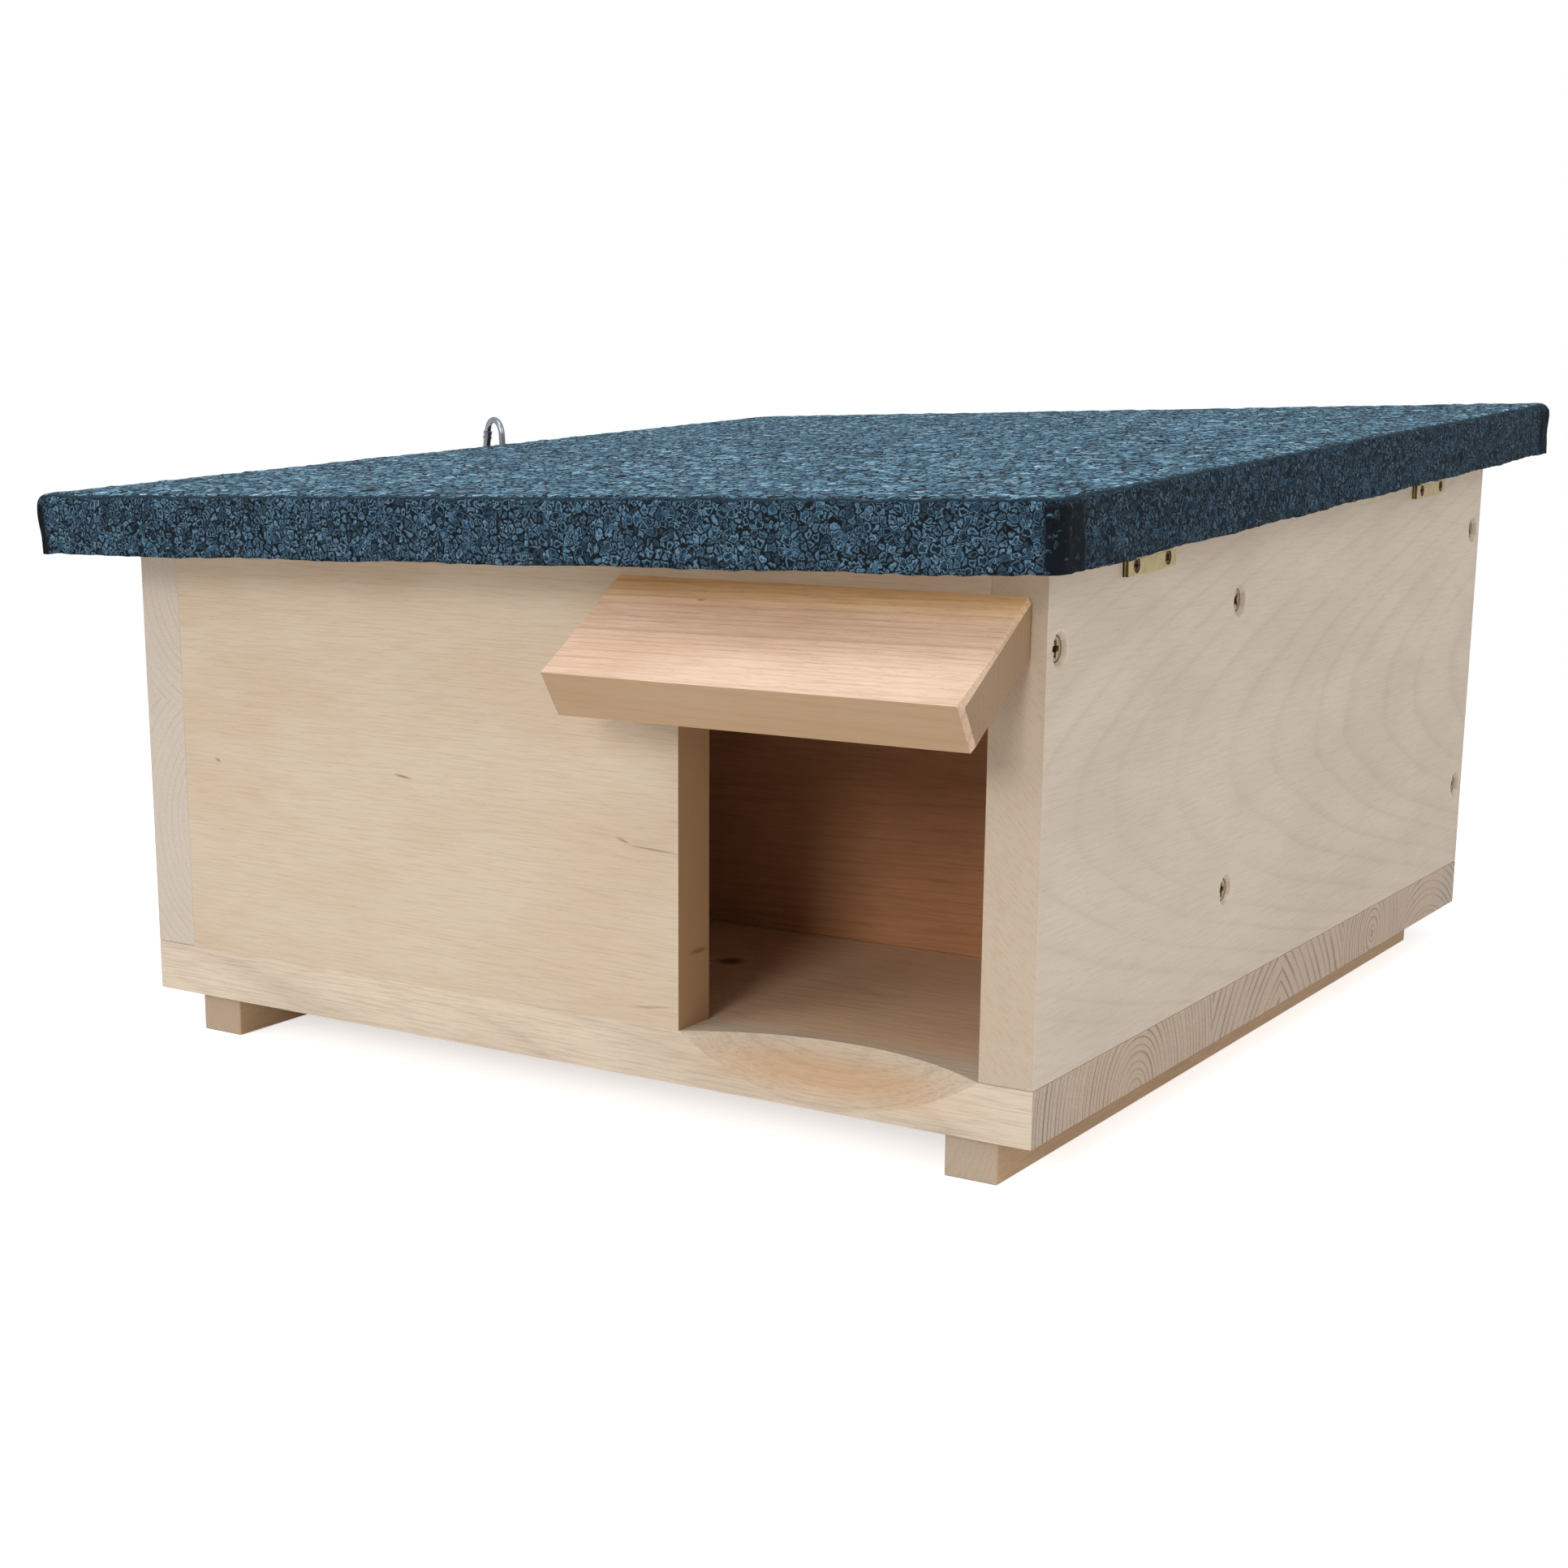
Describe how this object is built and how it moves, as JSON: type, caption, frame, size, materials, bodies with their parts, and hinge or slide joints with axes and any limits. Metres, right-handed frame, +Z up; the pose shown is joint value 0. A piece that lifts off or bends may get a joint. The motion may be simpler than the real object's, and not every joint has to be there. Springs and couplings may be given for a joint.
{
  "type": "hedgehog house",
  "caption": "Wooden hedgehog house with a canopied side entrance, inner partition, hinged felt-covered lid, spring hook and runners.",
  "frame": {"origin": "middle of the footprint's bounding box, on the ground under the runners", "axes": "+Z up, +Y from the entrance to the back, +X to the hinge side"},
  "size_m": [0.4536, 0.5526, 0.254],
  "materials": {
    "wood": "planed and unfinished",
    "felt": "bitumen roofing felt faced with blue-grey slate granules",
    "zinc": "yellow zinc-plated",
    "brass": "brass-plated, satin",
    "bronze": "bronzed, satin",
    "steel": "bright zinc-plated"
  },
  "bodies": {
    "house": {"front_hinge_wall_leaf": "brass", "front_hinge_pin": "brass", "rear_hinge_wall_leaf": "brass", "rear_hinge_pin": "brass", "hinge_wall_screw_1": "bronze", "hinge_wall_screw_2": "bronze", "hinge_wall_screw_3": "bronze", "hinge_wall_screw_4": "bronze", "floor_board": "wood", "floor_screw_1": "zinc", "floor_screw_2": "zinc", "floor_screw_3": "zinc", "floor_screw_4": "zinc", "floor_screw_5": "zinc", "floor_screw_6": "zinc", "floor_screw_7": "zinc", "floor_screw_8": "zinc", "floor_screw_9": "zinc", "left_wall": "wood", "left_wall_screw_1": "zinc", "left_wall_screw_2": "zinc", "left_wall_screw_3": "zinc", "left_wall_screw_4": "zinc", "right_wall": "wood", "right_wall_screw_1": "zinc", "right_wall_screw_2": "zinc", "right_wall_screw_3": "zinc", "right_wall_screw_4": "zinc", "right_wall_screw_5": "zinc", "front_panel": "wood", "back_panel": "wood", "partition": "wood", "left_runner": "wood", "left_runner_screw_1": "zinc", "left_runner_screw_2": "zinc", "left_runner_screw_3": "zinc", "right_runner": "wood", "right_runner_screw_1": "zinc", "right_runner_screw_2": "zinc", "right_runner_screw_3": "zinc", "entrance_canopy": "wood", "canopy_screw_1": "zinc", "canopy_screw_2": "zinc", "wall_eye": "steel"},
    "lid": {"roof_board": "wood", "roof_felt": "felt", "front_hinge_lid_leaf": "brass", "rear_hinge_lid_leaf": "brass", "hinge_lid_screw_1": "bronze", "hinge_lid_screw_2": "bronze", "hinge_lid_screw_3": "bronze", "hinge_lid_screw_4": "bronze"},
    "hook": {"hook_body": "steel", "gate_rivet": "steel"},
    "gate": {"hook_gate": "steel", "gate_spring": "steel"}
  },
  "joints": [
    {"name": "lid_hinge", "type": "hinge", "parent": "house", "child": "lid", "pos_m": [0.20921, -0.22896, 0.20576], "axis": [0, 0.999, 0.044], "range_deg": [0, 90]},
    {"name": "hook_lift", "type": "slide", "parent": "lid", "child": "hook", "axis": [-0.024, -0.044, 0.9987], "range_m": [0, 0.005]},
    {"name": "gate_swing", "type": "hinge", "parent": "hook", "child": "gate", "pos_m": [-0.22451, 0.03197, 0.2098], "axis": [0.3745, 0.9259, 0.0498], "range_deg": [0, 11], "stiffness_Nm_per_rad": 0.05, "springref_deg": -11.46}
  ]
}
